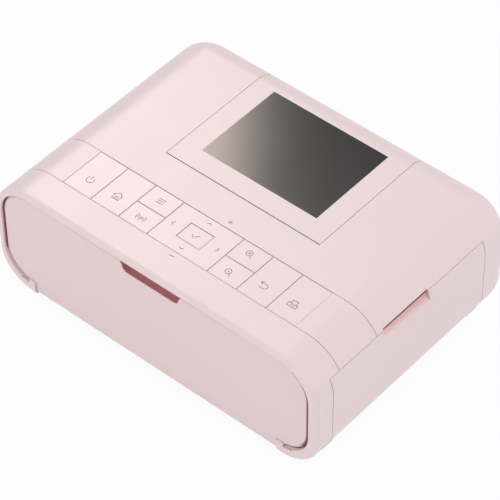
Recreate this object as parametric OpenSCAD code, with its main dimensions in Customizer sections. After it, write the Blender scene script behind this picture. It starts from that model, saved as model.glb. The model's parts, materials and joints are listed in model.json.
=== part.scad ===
// Compact photo printer for postcard-size prints, with a paper bay behind the front cover,
// an ink bay behind the right side door and a tilting display in the top.
// Millimetres. Front is -Y, right is +X, up is +Z. The origin is on the table, under the middle.

/* [Case] */
// Overall width
body_w = 180.6; // [178:0.1:190]
// Overall depth
body_d = 133.6; // [132:0.1:139.6]
// Overall height, feet included
body_h = 63.3; // [62.5:0.1:68]
// Height of the feet below the case
foot_h = 3.4; // [3:0.1:4]
// Radius of the four long corners
corner_r = 18.6; // [17.5:0.1:19.5]
// Rounding of the front edge
front_round = 3; // [2.8:0.1:3.4]
// Rounding of the rear edge
rear_round = 13; // [11:0.25:13.5]
// Wall of the case shells
wall = 2.2; // [2:0.1:2.4]
// Width of the groove along a seam between two fixed shells
seam_w = 0.3; // [0.2:0.05:0.5]
// Depth of that groove
seam_depth = 0.7; // [0.4:0.1:1]
// Gap round a cover or door that opens
cover_gap = 0.35; // [0.3:0.05:0.5]

/* [Front cover] */
// Width of the front rim beside the cover
rim_w = 3.8; // [3.6:0.1:4.2]
// Width of the rim above the cover
rim_top = 1.8; // [1.7:0.1:2]
// Width of the rim below the cover, beside the tongue
rim_low = 5.6; // [5:0.1:6]
// Radius of the corners of the opening in the rim
open_r = 16.3; // [15.5:0.1:16.5]
// How far the cover's face sits behind the rim
cover_sink = 0.9; // [0.85:0.05:1.1]
// Thickness of the cover plate
cover_t = 2.2; // [2:0.1:2.4]
// Half width of the tongue that curls under the case
tongue_half = 69; // [66:0.5:70]
// Radius of the curl along the tongue's lower edge
curl_r = 3.2; // [3:0.1:3.4]
// Width of the finger notch at its top
notch_w = 36; // [32:0.5:40]
// Depth of the finger notch
notch_h = 6; // [5.4:0.1:7]
// Radius of the cover's hinge pins
cover_pin_r = 0.55; // [0.5:0.05:0.6]

/* [Seams] */
// Front seam of the control strip, from the front face
strip_front = 17.45; // [17.35:0.05:18.85]
// Depth of the control strip
strip_d = 24.4; // [23.5:0.1:25]
// Front seam of the side panels, from the front face
side_front = 11.15; // [10.9:0.05:12.7]
// Rear seam of the side panels, from the rear face
side_rear = 20.6; // [19.5:0.25:22]
// Height of the side panels' top seam
side_top = 53.3; // [52.5:0.1:54]
// Angle below the horizontal at which the side panels end on the lower corner
side_end_angle = 45; // [42:1:48]

/* [Keys] */
// Width of one key cell
key_w = 16.04; // [15:0.1:16.5]
// Width of the direction pad's cell
pad_w = 33.5; // [32:0.1:35]
// Gap between two keys
key_gap = 0.3; // [0.2:0.05:0.4]
// Thickness of a key cap
key_t = 2.4; // [2.2:0.1:2.6]
// Travel of a key
key_travel = 0.4; // [0.3:0.05:0.5]
// Chamfer round a key cap
key_chamfer = 0.25; // [0.15:0.05:0.4]
// Width of the centre key
ok_w = 12.7; // [11:0.1:13]
// Depth of the centre key
ok_d = 9.6; // [9:0.1:10]

/* [Display] */
// Width of the tilting display panel
lcd_w = 85.7; // [84:0.1:88]
// Thickness of the display panel
lcd_t = 8; // [7.6:0.1:8.2]
// Distance of the panel's front edge from the printer's front
lcd_front = 59.75; // [58.75:0.25:61.25]
// Gap round the display panel
lcd_gap = 0.3; // [0.25:0.05:0.4]
// Width of the window
window_w = 64.3; // [60:0.1:66]
// Depth of the window
window_d = 48.5; // [45:0.1:49]
// Distance of the window from the panel's front edge
window_front = 10.7; // [10:0.1:11.5]
// Height of the hinge line below the top
lcd_axis_drop = 4; // [3.8:0.1:4.2]
// Distance of the hinge line behind the panel's front edge
lcd_axis_in = 2; // [1.9:0.1:2.4]
// Radius of the display's hinge pins
lcd_pin_r = 1.2; // [1:0.1:1.3]

/* [Ink door and card slot] */
// Depth of the door's hinge line below the case surface
door_axis_in = 3; // [2.8:0.1:3.2]
// Radius of the door's hinge rod
door_rod_r = 1.3; // [1.1:0.1:1.4]
// Front end of the card slot, behind the middle of the printer's depth
slot_front = -20.85; // [-22:0.05:-19]
// Length of the card slot
slot_len = 29.6; // [27:0.1:31]
// Height of the card slot above the side seam
slot_h = 1.1; // [0.9:0.1:1.4]
// Depth of the finger scoop under the slot, from the seam down
scoop_h = 4.4; // [3:0.1:5]

/* [Paper path] */
// Width of the paper bay
bay_w = 114; // [110:0.5:115]
// Height of the paper bay
bay_h = 21; // [20:0.5:21]
// Distance from the front to the bay's rear end
bay_depth = 60.75; // [57.25:0.25:61.25]
// Width of the rear paper slot
exit_w = 106; // [104:0.5:108]
// Height of the rear paper slot
exit_h = 5; // [4.6:0.1:5.4]
// Radius of the platen roller
platen_r = 7.5; // [7:0.1:7.6]
// Radius of the roller shafts
shaft_r = 2; // [1.8:0.1:2.2]
// Running clearance of a shaft or pin in its bore
run_fit = 0.05; // [0.03:0.01:0.08]

/* [Gears] */
// Module of the gear teeth
gear_m = 0.6; // [0.58:0.01:0.6]
// Teeth of the platen gear
platen_teeth = 30; // [30:1:31]
// Teeth of the idler between the platen and the feed roller
idler_teeth = 33; // [33:1:34]
// Teeth of the feed roller's gear
feed_teeth = 20; // [20:1:21]
// Teeth of the motor pinion
pinion_teeth = 12; // [12:1:12]
// Teeth of the take-up gear
take_up_teeth = 41; // [40:1:41]
// Teeth of the idler between the pinion and the pickup roller
pickup_idler_teeth = 31; // [30:1:31]
// Teeth of the pickup roller's gear
pickup_teeth = 24; // [23:1:24]
// Width of the gear faces
gear_face = 4; // [3:0.1:4.2]
// Play cut from each tooth flank
backlash = 0.12; // [0.1:0.01:0.15]

/* [Hidden] */
$fn = 64;

pink = [0.93, 0.86, 0.87];
cover_pink = [0.91, 0.81, 0.83];
grey = [0.80, 0.79, 0.80];
steel = [0.72, 0.73, 0.75];
black = [0.12, 0.12, 0.13];
big = 400;
eps = 0.01;

// Case outline
half_w = body_w / 2;
front_y = -body_d / 2;
rear_y = body_d / 2;
corner_x = half_w - corner_r;
corner_lo = foot_h + corner_r;
corner_hi = body_h - corner_r;
floor_z = foot_h + wall;

// Seam planes
strip_y0 = front_y + strip_front;
strip_y1 = strip_y0 + strip_d;
side_y0 = front_y + side_front;
side_y1 = rear_y - side_rear;
skirt_z = corner_lo - corner_r * sin(side_end_angle);

// Front cover
cover_face = front_y + cover_sink;
// The hinge line lies in the plane of the cover's face
cover_axis_y = cover_face;
cover_axis_z = foot_h + rim_low + cover_gap + 0.6;
curl_y = cover_face + curl_r;
curl_z = foot_h + curl_r;
sweep_r = sqrt(pow(curl_r, 2) + pow(cover_axis_z - foot_h, 2));
ear_w = 3.4;
ear_r = cover_pin_r + 0.55;

// Ink door hinge
door_axis_x = corner_x + (corner_r - door_axis_in) * cos(side_end_angle);
door_axis_z = corner_lo - (corner_r - door_axis_in) * sin(side_end_angle);
door_ear_w = 3;

// Keys
band_half = pad_w / 2 + 3 * key_w;
pocket_z = body_h - key_t - key_travel - 0.2;
tray_t = 1.6;
tray_z = pocket_z - tray_t;
tray_lip = 2;
stem = [5, 3];
stem_gap = 0.2;
dome_h = 1.2;
dome_clear = 0.06;
stem_end = tray_z - 0.7;
dome_top = stem_end - key_travel - dome_clear;
sheet_t = 0.6;
board_t = 1.2;
board_pin_r = 0.9;
key_board_z = dome_top - dome_h - sheet_t - board_t;
strip_mid = (strip_y0 + strip_y1) / 2;
gimbal = [19, 16.4];
gimbal_hole = [13.4, 13];
gimbal_pin_r = 0.5;
gimbal_gap = 0.35;

// Display
lcd_y0 = front_y + lcd_front;
lcd_axis_y = lcd_y0 + lcd_axis_in;
lcd_axis_z = body_h - lcd_axis_drop;
lcd_z0 = body_h - lcd_t;
lcd_swing = sqrt(pow(max(lcd_axis_drop, lcd_t - lcd_axis_drop), 2) + pow(lcd_axis_in, 2));
well_floor = lcd_z0 - 0.4;
well_t = 1.5;
window_t = 1.1;

// Paper path and gear train, seen from the right: [y, z] of each axis
platen = [9.85, floor_z + 11.4];
idler = mesh_pos(platen, platen_teeth, idler_teeth, 0);
feed = mesh_pos(idler, idler_teeth, feed_teeth, 0);
take_up = mesh_pos(idler, idler_teeth, take_up_teeth, 97.5);
pinion = mesh_pos(platen, platen_teeth, pinion_teeth, 144);
pickup_idler_at = mesh_pos(pinion, pinion_teeth, pickup_idler_teeth, 155);
pickup = mesh_pos(pickup_idler_at, pickup_idler_teeth, pickup_teeth, 155);
supply = [take_up[0] - 32, take_up[1]];
feed_r = platen_r * feed_teeth / platen_teeth;
pinch_r = 4;
pinch = [feed[0], feed[1] + feed_r + pinch_r + 0.3];
pickup_r = pickup[1] - (floor_z + 1.4 + bay_h) - 0.6;
plate_x = 60;
plate_t = 1.2;
gear_x = -plate_x - plate_t - 0.6;
tube_r = 9.5;
tube_wall = 1.2;
cassette_x0 = -57;
cassette_x1 = 66;
head_half = 53;
head_z = platen[1] + platen_r + 0.6;
top_plate_z = 50;

function mesh_pos(p, n1, n2, a) = p + gear_m / 2 * (n1 + n2) * [cos(a), sin(a)];
// Turn of the second gear that puts its gap on the first gear's tooth, for centres at angle a
function mesh_phase(p1, n1, n2, a) = a + 180 - 180 / n2 + (a - p1) * n1 / n2;
function polar(r, a) = r * [cos(a), sin(a)];
// Angle swept by an involute between its base circle and radius r
function involute_angle(base, r) =
    let (s = sqrt(max(pow(r / base, 2) - 1, 0))) s * 180 / PI - atan(s);

// ---------- Shared forms ----------

module block(x, y, z) {
    translate([x[0], y[0], z[0]]) cube([x[1] - x[0], y[1] - y[0], z[1] - z[0]]);
}

// A cylinder along X between x0 and x1, on the axis [y, z]
module rod_x(at, r, x0, x1, fn = 48) {
    translate([x0, at[0], at[1]]) rotate([0, 90, 0]) cylinder(r = r, h = x1 - x0, $fn = fn);
}

// A cylinder along Y between y0 and y1, on the axis [x, z]
module rod_y(at, r, y0, y1, fn = 48) {
    translate([at[0], y0, at[1]]) rotate([-90, 0, 0]) cylinder(r = r, h = y1 - y0, $fn = fn);
}

// Section of the case, outwards from a long corner's axis and along the depth
module case_section(inset) {
    reach = corner_r - inset;
    fr = max(front_round - inset, 0.2);
    rr = rear_round - inset;
    y0 = front_y + inset;
    y1 = rear_y - inset;
    intersection() {
        union() {
            translate([0, y0 + fr]) square([reach, y1 - y0 - fr - rr]);
            translate([0, y0]) square([reach - fr, fr + 1]);
            translate([0, y1 - rr - 1]) square([reach - rr, rr + 1]);
            translate([reach - fr, y0 + fr]) circle(fr);
            translate([reach - rr, y1 - rr]) circle(rr);
        }
        translate([0, y0 - 1]) square([reach + 1, y1 - y0 + 2]);
    }
}

// The whole case as one solid, shrunk by inset: four revolved corners, four flats and a core
module case_form(inset) {
    x = corner_x;
    for (s = [0, 1]) mirror([s, 0, 0]) {
        for (k = [[corner_lo, 0], [corner_hi, 270]])
            translate([x, 0, k[0]]) rotate([0, k[1], 0]) rotate([-90, 0, 0])
                rotate_extrude(angle = 90) case_section(inset);
        translate([x, 0, corner_lo]) linear_extrude(corner_hi - corner_lo) case_section(inset);
    }
    for (k = [[-x, corner_lo, 90], [x, corner_hi, 270]])
        translate([k[0], 0, k[1]]) rotate([0, k[2], 0]) linear_extrude(2 * x) case_section(inset);
    block([-x, x], [front_y + inset, rear_y - inset], [corner_lo, corner_hi]);
}

// An outline inset from the case's front view
module outline(inset) {
    r = corner_r - inset;
    for (sx = [-1, 1], z = [corner_lo, corner_hi]) translate([sx * corner_x, z]) circle(r);
    translate([-corner_x - r, corner_lo]) square([2 * (corner_x + r), corner_hi - corner_lo]);
    translate([-corner_x, corner_lo - r]) square([2 * corner_x, corner_hi - corner_lo + 2 * r]);
}

// A front view carried along the depth from y0 to y1
module upright(y0, y1) {
    translate([0, y1, 0]) rotate([90, 0, 0]) linear_extrude(y1 - y0) children();
}

// Thin grooves along the seams of the fixed shells
module seam_grooves() {
    h = seam_w / 2;
    difference() {
        union() {
            for (y = [strip_y0, strip_y1]) block([-big, big], [y - h, y + h], [side_top, big]);
            block([-big, -corner_x], [side_y0, side_y1], [side_top - h, side_top + h]);
            for (y = [side_y0, side_y1]) block([-big, -corner_x], [y - h, y + h], [0, side_top]);
            block([-big, big], [side_y1, big], [skirt_z - h, skirt_z + h]);
            block([-big, 0], [side_y0, side_y1], [skirt_z - h, skirt_z + h]);
            block([-big, big], [side_y0 - h, side_y0 + h], [-1, skirt_z]);
        }
        case_form(seam_depth);
    }
}

module shell() {
    difference() {
        case_form(0);
        case_form(wall);
    }
}

// The space that a side panel fills, before its clearance
module side_region(side, gap) {
    x = side > 0 ? [0, big] : [-big, 0];
    block(x, [side_y0 + gap, side_y1 - gap], [skirt_z, side_top - gap]);
}

// ---------- Fixed shells ----------

// The opening that the cover fills, seen from the front, shrunk by inset
module opening(inset) {
    x = half_w - rim_w - open_r;
    z = [foot_h + rim_low + open_r, body_h - rim_top - open_r];
    r = open_r - inset;
    for (sx = [-1, 1], k = z) translate([sx * x, k]) circle(r);
    translate([-x - r, z[0]]) square([2 * (x + r), z[1] - z[0]]);
    translate([-x, z[0] - r]) square([2 * x, z[1] - z[0] + 2 * r]);
}

// Ears beside the tongue's ends, raised from the lower rim to the hinge line
module cover_ears() {
    x0 = tongue_half + cover_gap;
    intersection() {
        case_form(0);
        for (x = [[x0, x0 + ear_w], [-x0 - ear_w, -x0]]) {
            block(x, [front_y, cover_axis_y + ear_r], [foot_h, cover_axis_z]);
            rod_x([cover_axis_y, cover_axis_z], ear_r, x[0], x[1]);
        }
    }
}

// The ring round the front, open at the front and below the tongue
module front_ring() {
    x = tongue_half + cover_gap;
    reach = open_r - cover_gap;
    // Where the cover's lower corners still pass over the rim
    low_x = half_w - rim_w - open_r + sqrt(pow(reach, 2)
        - pow(foot_h + rim_low + open_r - cover_axis_z - 1.15, 2));
    difference() {
        intersection() {
            shell();
            union() {
                block([-big, big], [-big, side_y0], [0, big]);
                block([-big, big], [-big, strip_y0], [side_top, big]);
            }
        }
        upright(front_y - 1, front_y + wall + 1.4) opening(0);
        block([-x, x], [front_y - 1, cover_axis_y + sweep_r + cover_gap], [0, cover_axis_z]);
        block([-low_x - 0.3, low_x + 0.3], [front_y - 1, cover_axis_y + 0.15],
            [cover_axis_z - 0.05, cover_axis_z + 0.95]);
    }
}

module front_frame() {
    axis = [cover_axis_y, cover_axis_z];
    color(pink) difference() {
        union() {
            front_ring();
            cover_ears();
            rod_y([door_axis_x, door_axis_z], door_axis_in, side_y0 - door_ear_w, side_y0);
        }
        rod_x(axis, cover_pin_r + run_fit, -tongue_half - 8, tongue_half + 8);
        rod_y([door_axis_x, door_axis_z], door_rod_r + run_fit, side_y0 - 2, side_y0 + 1);
        seam_grooves();
    }
}

// One opening in the key tray for a stem
module stem_hole(at, size) {
    w = size[0] + 2 * stem_gap;
    d = size[1] + 2 * stem_gap;
    block([at[0] - w / 2, at[0] + w / 2], [at[1] - d / 2, at[1] + d / 2], [tray_z - 1, pocket_z + 1]);
}

// Centre of key cell i, counted outwards from the pad, on the side s
function cell_x(i, s) = s * (pad_w / 2 + key_w * (i + 0.5));
stems = [[cell_x(2, -1), strip_mid], [cell_x(1, -1), strip_mid],
    [cell_x(0, -1), strip_mid + strip_d / 4], [cell_x(0, -1), strip_mid - strip_d / 4],
    [cell_x(0, 1), strip_mid + strip_d / 4], [cell_x(0, 1), strip_mid - strip_d / 4],
    [cell_x(1, 1), strip_mid], [cell_x(2, 1), strip_mid]];

module control_strip() {
    half = band_half + 1.5;
    hole = gimbal + [2, 2] * gimbal_gap;
    color(pink) difference() {
        union() {
            intersection() {
                shell();
                block([-big, big], [strip_y0, strip_y1], [side_top, big]);
            }
            block([-half, half], [strip_y0 - tray_lip, strip_y1 + tray_lip], [tray_z, body_h - wall]);
            for (s = [-1, 1]) {
                block(s > 0 ? [band_half, half] : [-half, -band_half], [strip_y0, strip_y1],
                    [tray_z, body_h - 1]);
                // Posts that carry the key board
                translate([s * (band_half - 1.6), strip_mid, key_board_z]) {
                    cylinder(r = board_pin_r, h = tray_z - key_board_z + eps, $fn = 32);
                    translate([0, 0, board_t]) cylinder(r = 1.3, h = tray_z - key_board_z - board_t + eps);
                }
            }
        }
        block([-band_half, band_half], [strip_y0 - eps, strip_y1 + eps], [pocket_z, big]);
        for (p = stems) stem_hole(p, stem);
        for (p = pad_stems) stem_hole(p, pad_stem);
        block([-hole[0] / 2, hole[0] / 2], [strip_mid - hole[1] / 2, strip_mid + hole[1] / 2],
            [tray_z - 1, big]);
        rod_x([strip_mid, tray_z + tray_t / 2], gimbal_pin_r + run_fit, -gimbal[0] / 2 - 2,
            gimbal[0] / 2 + 2);
        seam_grooves();
    }
}

// The tub under the display panel, with the hollow that lets the panel's front edge swing
module lcd_well() {
    x = lcd_w / 2 + lcd_gap;
    lip = lcd_swing + 0.25;
    difference() {
        intersection() {
            case_form(0);
            block([-x - well_t, x + well_t], [lcd_axis_y - lip - well_t, rear_y],
                [well_floor - well_t, body_h - 0.8]);
        }
        block([-x, x], [lcd_y0 - lcd_gap, big], [well_floor, big]);
        rod_x([lcd_axis_y, lcd_axis_z], lip, -x, x);
        rod_x([lcd_axis_y, lcd_axis_z], lcd_pin_r + 0.02, -big, big);
    }
}

// The rear panel's outline: the flat part inside the rear edge's rounding
module rear_flat(inset, y0, y1) {
    upright(y0, y1) outline(rear_round + 1.2 + inset);
}

module top_cover() {
    x = lcd_w / 2 + lcd_gap;
    color(pink) difference() {
        union() {
            difference() {
                intersection() {
                    shell();
                    union() {
                        block([-big, big], [strip_y1, big], [side_top, big]);
                        block([-big, big], [side_y1, big], [skirt_z, big]);
                    }
                }
                block([-x, x], [lcd_y0 - lcd_gap, big], [well_floor, big]);
                rod_x([lcd_axis_y, lcd_axis_z], lcd_swing + 0.25, -x, x);
            }
            lcd_well();
            rod_y([door_axis_x, door_axis_z], door_axis_in, side_y1, side_y1 + door_ear_w);
            // Bosses that carry the main board
            for (y = [main_y[0] + 1.7, main_y[1] - 4])
                translate([corner_x - 1.8, y, main_z + 1.6])
                    cylinder(r = 1.6, h = body_h - wall - main_z - 1.6 + eps);
        }
        rear_flat(0, rear_y - wall - 1, rear_y + 1);
        // Upper half of the card slot
        block([corner_x, big], [slot_front, slot_front + slot_len], [side_top - 1, side_top + slot_h]);
        rod_y([door_axis_x, door_axis_z], door_rod_r + run_fit, side_y1 - 1, side_y1 + 2);
        seam_grooves();
    }
}

// Data sockets in the left side: [centre along the depth, width, height, length]
sockets = [[-37.15, 13, 5.4, 14], [-21.15, 7.6, 3.6, 9]];
socket_z = 24;

module left_side_panel() {
    color(pink) difference() {
        intersection() {
            shell();
            side_region(-1, 0);
        }
        for (k = sockets)
            block([-big, -half_w + wall + 1], [k[0] - k[1] / 2 - 0.2, k[0] + k[1] / 2 + 0.2],
                [socket_z - 0.2, socket_z + k[2] + 0.2]);
        seam_grooves();
    }
}

screw_at = [for (x = [-corner_x, corner_x], y = [side_y0 + 24, rear_y - 28]) [x, y]];
screw_r = 1.4;
screw_head_r = 2.6;
screw_head_t = 1.4;
boss_h = 7;

module bottom_cover() {
    color(pink) difference() {
        union() {
            intersection() {
                shell();
                block([-big, big], [side_y0, big], [0, skirt_z]);
            }
            for (p = screw_at) translate([p[0], p[1], foot_h + 0.5]) cylinder(r = 3.4, h = boss_h);
        }
        for (p = screw_at) translate([p[0], p[1], foot_h - 1]) {
            cylinder(r = screw_r + 0.02, h = boss_h);
            cylinder(r = screw_head_r + 0.15, h = 1 + screw_head_t);
        }
        // Room for the ink door's edge as it swings out
        rod_y([door_axis_x, door_axis_z], door_axis_in + 0.8, side_y0 - 1,
            side_y1 + door_ear_w + 0.1);
        // Air intake slots under the engine
        for (i = [-4:4])
            block([i * 9 - 1.5, i * 9 + 1.5], [rear_y - 42, rear_y - 20], [0, floor_z + 1]);
        seam_grooves();
    }
}

inlet_at = [-69, 33];
inlet_r = 4.6;
exit_z = platen[1] + platen_r - 4.2;

module rear_panel() {
    color(pink) difference() {
        union() {
            rear_flat(seam_w / 2, rear_y - wall, rear_y);
            rear_flat(-1, rear_y - wall - 1.2, rear_y - wall);
            block([-exit_w / 2 - 1.2, exit_w / 2 + 1.2], [rear_y - wall - 2, rear_y - wall],
                [exit_z - 1.2, exit_z + exit_h + 1.2]);
        }
        block([-exit_w / 2, exit_w / 2], [rear_y - 8, rear_y + 1], [exit_z, exit_z + exit_h]);
        rod_y(inlet_at, inlet_r + 0.15, rear_y - 8, rear_y + 1);
        // Air outlet slots
        for (i = [0:12])
            block([-36 + i * 6, -33 + i * 6], [rear_y - 8, rear_y + 1], [32, 46]);
    }
}

foot_len = 7.2;
foot_out = 81.4;
foot_in = 68;
foot_y = [front_y + 15.3, rear_y - 19.3];

module foot_pads() {
    color(grey) difference() {
        for (s = [-1, 1], y = foot_y)
            block(s > 0 ? [foot_in, foot_out] : [-foot_out, -foot_in], [y, y + foot_len],
                [0, corner_lo]);
        case_form(0);
        block([-big, big], [-big, big], [door_axis_z - door_axis_in - 0.9, big]);
    }
}

module case_screws() {
    color(steel) for (p = screw_at) translate([p[0], p[1], foot_h]) {
        cylinder(r = screw_r, h = boss_h - 1.6, $fn = 32);
        difference() {
            cylinder(r = screw_head_r, h = screw_head_t, $fn = 32);
            for (a = [0, 90]) rotate(a) translate([-1.6, -0.3, -1]) cube([3.2, 0.6, 1.7]);
        }
    }
}

// ---------- Front cover ----------

// Outline of the cover in front view: the rim's opening, with the tongue below
module cover_outline() {
    opening(cover_gap);
    translate([-tongue_half, curl_z]) square([2 * tongue_half, corner_lo - curl_z]);
}

// The finger notch: an opening with sloping sides and round lower corners
module notch_outline(grow = 0) {
    r = 3;
    top = body_h - rim_top - cover_gap;
    w = notch_w / 2 + grow;
    low = top - notch_h - grow;
    intersection() {
        union() {
            polygon([[-w, top + 1], [w, top + 1], [w - 2.2, low + r], [-w + 2.2, low + r]]);
            for (s = [-1, 1]) translate([s * (w - 2.2 - r), low + r]) circle(r);
            translate([-w + 2.2 + r, low]) square([2 * (w - 2.2 - r), r]);
        }
        translate([-w, low]) square([2 * w, big]);
    }
}

module front_cover() {
    inner = cover_face + cover_t;
    axis = [cover_axis_y, cover_axis_z];
    pocket = 4.4;
    pocket_x = tongue_half + cover_gap + ear_w + cover_gap;
    top = body_h - rim_top - cover_gap;
    color(cover_pink) difference() {
        union() {
            upright(cover_face, inner) cover_outline();
            // Curl along the tongue's lower edge
            difference() {
                rod_x([curl_y, curl_z], curl_r, -tongue_half, tongue_half);
                rod_x([curl_y, curl_z], curl_r - cover_t, -big, big);
                block([-big, big], [-big, big], [curl_z, big]);
                block([-big, big], [curl_y, big], [0, big]);
            }
            // Pocket wall behind the finger notch, and the frame of ribs inside
            intersection() {
                upright(inner - eps, inner + pocket) notch_outline(1.6);
                // Lower than the plate, to pass the frame as the cover swings
                block([-big, big], [-big, big], [0, top - 0.8]);
            }
            for (x = [-44, -28, 28, 44])
                block([x - 0.6, x + 0.6], [inner - eps, inner + 1.6], [cover_axis_z + 6, top - 3]);
            for (z = [cover_axis_z + 6, top - 9])
                block([-78, 78], [inner - eps, inner + 1.6], [z - 0.6, z + 0.6]);
        }
        upright(cover_face - 1, inner + pocket - 1.2) notch_outline();
        // Pockets that clear the frame's ears
        for (s = [-1, 1]) {
            x = s > 0 ? [tongue_half, pocket_x] : [-pocket_x, -tongue_half];
            rod_x(axis, ear_r + 0.2, x[0], x[1]);
            block(x, [-big, big], [0, cover_axis_z]);
        }
    }
    // Hinge pins
    color(cover_pink) for (s = [-1, 1])
        rod_x(axis, cover_pin_r, s > 0 ? tongue_half - 0.01 : -pocket_x + 0.6,
            s > 0 ? pocket_x - 0.6 : -tongue_half + 0.01, 32);
}

// ---------- Ink door ----------

module ink_door() {
    axis = [door_axis_x, door_axis_z];
    y0 = side_y0 + cover_gap;
    y1 = side_y1 - cover_gap;
    color(pink) difference() {
        union() {
            intersection() {
                shell();
                side_region(1, cover_gap);
            }
            // Bead along the hinge edge, and ribs inside
            rod_y(axis, door_axis_in, y0, y1);
            for (y = [-36, 30]) intersection() {
                difference() {
                    case_form(wall - eps);
                    case_form(wall + 1.8);
                }
                block([corner_x, big], [y - 0.7, y + 0.7], [corner_lo, side_top - 5]);
            }
            // Thicker wall behind the scoop
            intersection() {
                case_form(0.3);
                block([half_w - wall - 3.6, big], [slot_front - 1.5, slot_front + slot_len + 1.5],
                    [side_top - scoop_h - 2, side_top - cover_gap]);
            }
        }
        rod_y(axis, door_rod_r + run_fit, y0 - 1, y1 + 1);
        door_scoop();
    }
}

// The scoop: a slanted round cut, shallow at the front and deep at the rear end
module door_scoop() {
    r = 7;
    lean = 2.2;
    intersection() {
        block([corner_x, big], [slot_front, slot_front + slot_len], [0, big]);
        translate([half_w + r - 3.6, slot_front + slot_len / 2, side_top + r - scoop_h - 1.2])
            rotate([0, 0, lean]) rotate([90, 0, 0]) cylinder(r = r, h = slot_len + 8, center = true);
    }
}

module ink_door_rod() {
    color(steel) rod_y([door_axis_x, door_axis_z], door_rod_r, side_y0 - 1.9, side_y1 + 1.9);
}

// ---------- Display panel ----------

module lcd_form(inset) {
    intersection() {
        case_form(inset);
        block([-lcd_w / 2 + inset, lcd_w / 2 - inset], [lcd_y0 + inset, big], [lcd_z0, big]);
    }
}

window_y0 = lcd_y0 + window_front;
lcd_wall = 1.8;
lcd_back_t = 1.5;

module window_block(grow, z0, z1) {
    w = window_w / 2 + grow;
    block([-w, w], [window_y0 - grow, window_y0 + window_d + grow], [z0, z1]);
}

module lcd_bezel() {
    color(pink) difference() {
        lcd_form(0);
        difference() {
            lcd_form(lcd_wall);
            // Solid round the hinge pins
            for (s = [-1, 1])
                rod_x([lcd_axis_y, lcd_axis_z], lcd_axis_in, s > 0 ? lcd_w / 2 - 6 : -lcd_w / 2,
                    s > 0 ? lcd_w / 2 : -lcd_w / 2 + 6);
        }
        translate([0, 0, -eps]) intersection() {
            lcd_form(lcd_wall - 0.6);
            block([-big, big], [-big, big], [0, lcd_z0 + lcd_back_t]);
        }
        window_block(0.02, lcd_z0 + lcd_back_t, big);
        for (s = [-1, 1])
            rod_x([lcd_axis_y, lcd_axis_z], lcd_pin_r + run_fit, s > 0 ? lcd_w / 2 - 4.4 : -big,
                s > 0 ? big : -lcd_w / 2 + 4.4);
    }
}

module lcd_back_cover() {
    color(pink) difference() {
        intersection() {
            lcd_form(lcd_wall - 0.55);
            block([-big, big], [-big, big], [0, lcd_z0 + lcd_back_t - 0.02]);
        }
        rod_x([lcd_axis_y, lcd_axis_z], lcd_axis_in + 0.2, -big, big);
    }
}

module lcd_window() {
    color(black) window_block(0, body_h - window_t, body_h);
}

module lcd_module() {
    color(steel) difference() {
        window_block(0, lcd_z0 + lcd_back_t, body_h - window_t);
        window_block(-1.2, body_h - window_t - 0.4, big);
    }
}

module lcd_hinge_pins() {
    x = lcd_w / 2;
    color(steel) for (s = [-1, 1]) rod_x([lcd_axis_y, lcd_axis_z], lcd_pin_r, s > 0 ? x - 4.2 : -x - 1.7,
        s > 0 ? x + 1.7 : -x + 4.2);
}

// ---------- Keys ----------

// A key cap over a cell: chamfered at the top and all round
module cap(x0, x1, y0, y1) {
    g = key_gap / 2;
    c = key_chamfer;
    z0 = body_h - key_t;
    intersection() {
        translate([0, y1 - g, 0]) rotate([90, 0, 0]) linear_extrude(y1 - y0 - 2 * g)
            polygon([[x0 + g, z0], [x1 - g, z0], [x1 - g, body_h - c], [x1 - g - c, body_h],
                [x0 + g + c, body_h], [x0 + g, body_h - c]]);
        translate([x0 + g, 0, 0]) rotate([90, 0, 90]) linear_extrude(x1 - x0 - 2 * g)
            polygon([[y0 + g, z0], [y1 - g, z0], [y1 - g, body_h - c], [y1 - g - c, body_h],
                [y0 + g + c, body_h], [y0 + g, body_h - c]]);
    }
}

// A key: its cap with a skirt rib and the stem that reaches the dome
module key(i, s, part = 0) {
    x = cell_x(i, s);
    y0 = part > 0 ? strip_mid : strip_y0;
    y1 = part < 0 ? strip_mid : strip_y1;
    mid = (y0 + y1) / 2;
    color(pink) {
        cap(x - key_w / 2, x + key_w / 2, y0, y1);
        block([x - stem[0] / 2, x + stem[0] / 2], [mid - stem[1] / 2, mid + stem[1] / 2],
            [stem_end, body_h - key_t + eps]);
    }
}

module power_key() key(2, -1);
module home_key() key(1, -1);
module menu_key() key(0, -1, 1);
module wireless_key() key(0, -1, -1);
module zoom_in_key() key(0, 1, 1);
module zoom_out_key() key(0, 1, -1);
module back_key() key(1, 1);
module print_key() key(2, 1);

gimbal_z = tray_z + tray_t / 2;
pad_lug = 2.4;
pad_stem = [3, 1.6];
pad_stems = [for (s = [-1, 1]) each [[s * 13.5, strip_mid], [0, strip_mid + s * 10.4]]];

module direction_pad() {
    w = ok_w / 2 + key_gap;
    d = ok_d / 2 + key_gap;
    color(pink) difference() {
        union() {
            cap(-pad_w / 2, pad_w / 2, strip_y0, strip_y1);
            for (p = pad_stems) block([p[0] - pad_stem[0] / 2, p[0] + pad_stem[0] / 2],
                [p[1] - pad_stem[1] / 2, p[1] + pad_stem[1] / 2], [stem_end, body_h - key_t + eps]);
            // Lugs that hang on the gimbal's two pins
            for (s = [-1, 1]) {
                y = strip_mid + s * (gimbal_hole[1] / 2 - 0.6);
                block([-pad_lug / 2, pad_lug / 2], [y - 0.4, y + 0.4],
                    [gimbal_z - 0.9, body_h - key_t + eps]);
            }
        }
        block([-w, w], [strip_mid - d, strip_mid + d], [body_h - key_t - 0.01, big]);
        rod_y([0, gimbal_z], gimbal_pin_r + run_fit, strip_mid - 7, strip_mid + 7, 32);
    }
}

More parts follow.
